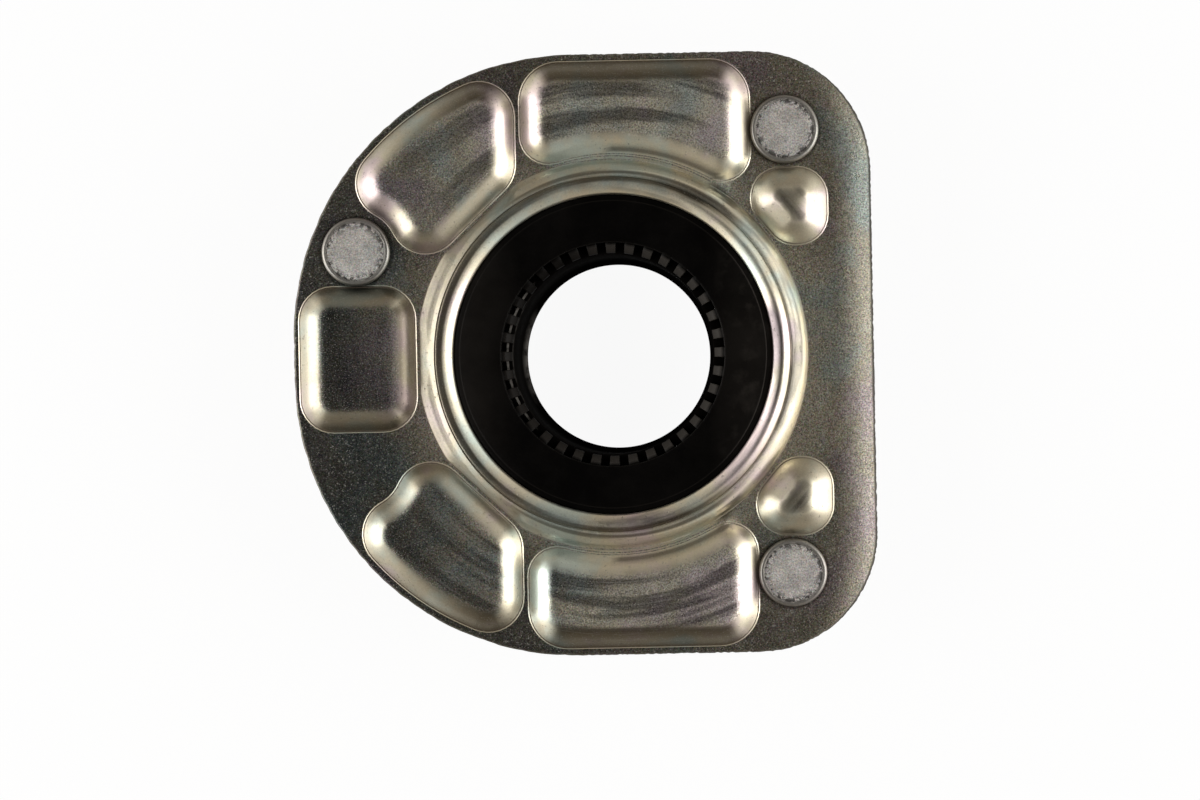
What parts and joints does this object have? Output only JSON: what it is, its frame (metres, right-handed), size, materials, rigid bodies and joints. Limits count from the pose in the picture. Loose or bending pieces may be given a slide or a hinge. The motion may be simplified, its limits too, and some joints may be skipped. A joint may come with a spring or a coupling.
{
  "type": "strut mount",
  "caption": "Pressed steel strut top mount: D-shaped plate with soft raised pads, rubber bush in a drawn cup with a ribbed bore, and press-in studs.",
  "frame": {"origin": "on the bore axis, in the plane of the plate's tower-side face", "axes": "+Z along the studs, away from the tower; +X from the bore towards the plate's straight side, +Y along that side"},
  "size_m": [0.151, 0.1564, 0.0398],
  "materials": {
    "plate": "zinc plated, satin",
    "rubber": "moulded, dusty matte",
    "sleeve": "black bonding coat",
    "stud": "plated, matte head"
  },
  "bodies": {
    "root": {"mounting_plate": "plate", "rubber_bush": "rubber", "inner_sleeve": "sleeve", "stud_left": "stud", "stud_upper": "stud", "stud_lower": "stud"}
  },
  "joints": []
}
